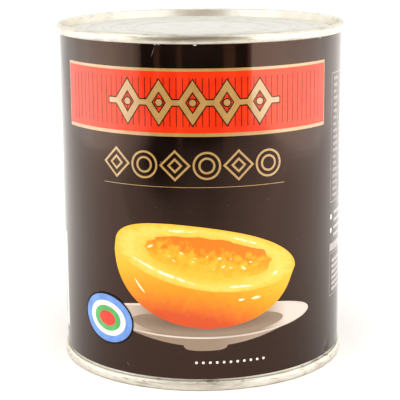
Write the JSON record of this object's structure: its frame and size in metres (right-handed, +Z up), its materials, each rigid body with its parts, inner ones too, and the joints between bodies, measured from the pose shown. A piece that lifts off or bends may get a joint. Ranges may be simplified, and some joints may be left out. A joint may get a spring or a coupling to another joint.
{
  "type": "shut food can with paper label",
  "caption": "Shut round tin can with double seamed, countersunk ends and a dark glossy paper label with a red panel and a picture of cut fruit.",
  "frame": {"origin": "middle of the base, on the surface the can stands on", "axes": "+Z up along the can's axis, -Y towards the front of the label, +X to the right of the front"},
  "size_m": [0.1024, 0.1024, 0.1209],
  "materials": {
    "tinplate": "bright tinned steel with a warm tone, slightly soft reflections",
    "label_paper": "printed paper, near-black brown, glossy"
  },
  "bodies": {
    "root": {"can_body": "tinplate", "top_end": "tinplate", "bottom_end": "tinplate", "label": "label_paper"}
  },
  "joints": []
}
